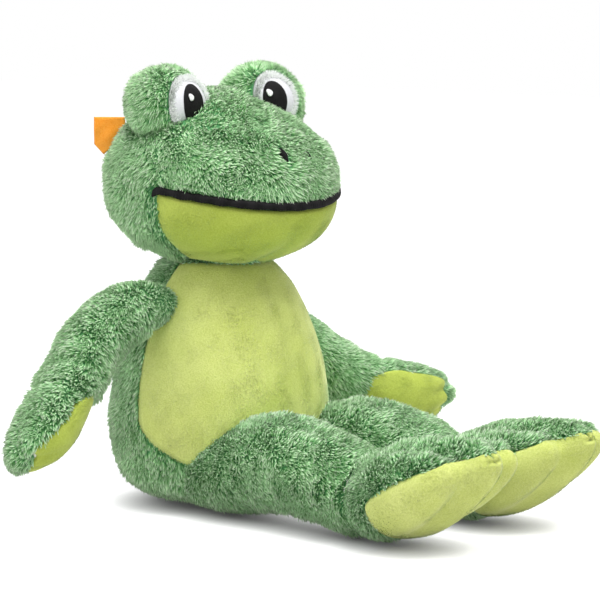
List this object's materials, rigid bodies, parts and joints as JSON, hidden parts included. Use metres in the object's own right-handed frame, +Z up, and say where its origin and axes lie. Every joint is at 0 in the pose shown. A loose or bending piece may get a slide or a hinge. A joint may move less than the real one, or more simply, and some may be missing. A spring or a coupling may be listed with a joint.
{
  "type": "plush frog",
  "caption": "Stuffed toy frog sitting with its legs stretched out: green pile back and head, lime belly, chin, palms and soles, stitched eyes and mouth, and a plain felt tab behind the head.",
  "frame": {"origin": "on the floor, in the middle of the flat seat under the body", "axes": "-Y to the front where the legs point, +Z up, -X towards the right arm of the frog"},
  "size_m": [0.2818, 0.2351, 0.2],
  "materials": {
    "plush": "cut pile, about 5 mm long",
    "velour": "short velour pile",
    "fibre": "loose polyester fibre",
    "calico": "plain woven pouch of pellets",
    "white": "short white velour and stitching",
    "black": "satin stitched thread",
    "felt": "plain pressed felt"
  },
  "bodies": {
    "torso": {"back_panel": "plush", "belly_panel": "velour", "body_stuffing": "fibre", "pellet_pouch": "calico"},
    "head": {"head_fur_shell": "plush", "chin_panel": "velour", "head_stuffing": "fibre", "mouth_line": "black", "eye_bump_right": "plush", "eye_stuffing_right": "fibre", "eye_white_right": "white", "pupil_right": "black", "eye_highlight_right": "white", "nostril_right": "black", "eye_bump_left": "plush", "eye_stuffing_left": "fibre", "eye_white_left": "white", "pupil_left": "black", "eye_highlight_left": "white", "nostril_left": "black"},
    "tab": {"felt_tab": "felt"},
    "arm_right": {"arm_sleeve_right": "plush", "palm_panel_right": "velour", "arm_stuffing_right": "fibre"},
    "leg_right": {"leg_sleeve_right": "plush", "sole_panel_right": "velour", "leg_stuffing_right": "fibre"},
    "arm_left": {"arm_sleeve_left": "plush", "palm_panel_left": "velour", "arm_stuffing_left": "fibre"},
    "leg_left": {"leg_sleeve_left": "plush", "sole_panel_left": "velour", "leg_stuffing_left": "fibre"}
  },
  "joints": [
    {"name": "neck_nod", "type": "hinge", "parent": "torso", "child": "head", "pos_m": [0, 0, 0.092], "axis": [0.9781, -0.2079, 0], "range_deg": [-10, 12]},
    {"name": "shoulder_right", "type": "hinge", "parent": "torso", "child": "arm_right", "pos_m": [-0.046, -0.001, 0.092], "axis": [0, 1, 0], "range_deg": [-5, 40]},
    {"name": "shoulder_left", "type": "hinge", "parent": "torso", "child": "arm_left", "pos_m": [0.046, -0.001, 0.075], "axis": [0, -1, 0], "range_deg": [-5, 40]},
    {"name": "hip_right", "type": "hinge", "parent": "torso", "child": "leg_right", "pos_m": [-0.025, -0.015, 0.0205], "axis": [-1, 0, 0], "range_deg": [-60, 8]},
    {"name": "hip_left", "type": "hinge", "parent": "torso", "child": "leg_left", "pos_m": [0.025, -0.015, 0.0205], "axis": [-1, 0, 0], "range_deg": [-60, 8]},
    {"name": "tab_flap", "type": "hinge", "parent": "head", "child": "tab", "pos_m": [-0.02517, 0.03224, 0.174], "axis": [0, 0, 1], "range_deg": [-30, 30], "stiffness_Nm_per_rad": 0.0001}
  ]
}
